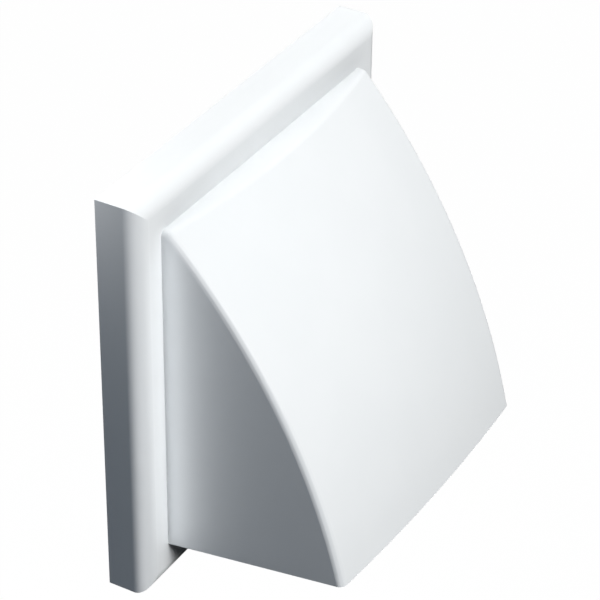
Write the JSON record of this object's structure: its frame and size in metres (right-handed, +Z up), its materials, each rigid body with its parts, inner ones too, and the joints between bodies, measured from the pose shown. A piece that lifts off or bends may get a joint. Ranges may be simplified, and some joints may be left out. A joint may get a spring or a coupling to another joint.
{
  "type": "gravity flap vent grille",
  "caption": "Plastic wall vent for a round duct: a square flange, a bowed hood open at the bottom and a hinged gravity flap that closes on a collar.",
  "frame": {"origin": "on the duct axis, in the plane of the wall that the flange lies on", "axes": "+Y along the duct axis into the wall, +Z up, +X to the right as seen from in front of the hood"},
  "size_m": [0.154, 0.1, 0.154],
  "materials": {
    "cowl_plastic": "satin",
    "base_plastic": "satin",
    "flap_plastic": "satin",
    "rod_steel": "drawn",
    "seal_foam": "matt foam"
  },
  "bodies": {
    "housing": {"cowl": "cowl_plastic", "base_plate": "base_plastic", "hinge_rod": "rod_steel", "flap_seal": "seal_foam"},
    "gravity_flap": {"flap": "flap_plastic"}
  },
  "joints": [
    {"name": "flap_hinge", "type": "hinge", "parent": "housing", "child": "gravity_flap", "pos_m": [0, -0.0074, 0.056], "axis": [-1, 0, 0], "range_deg": [0, 35]}
  ]
}
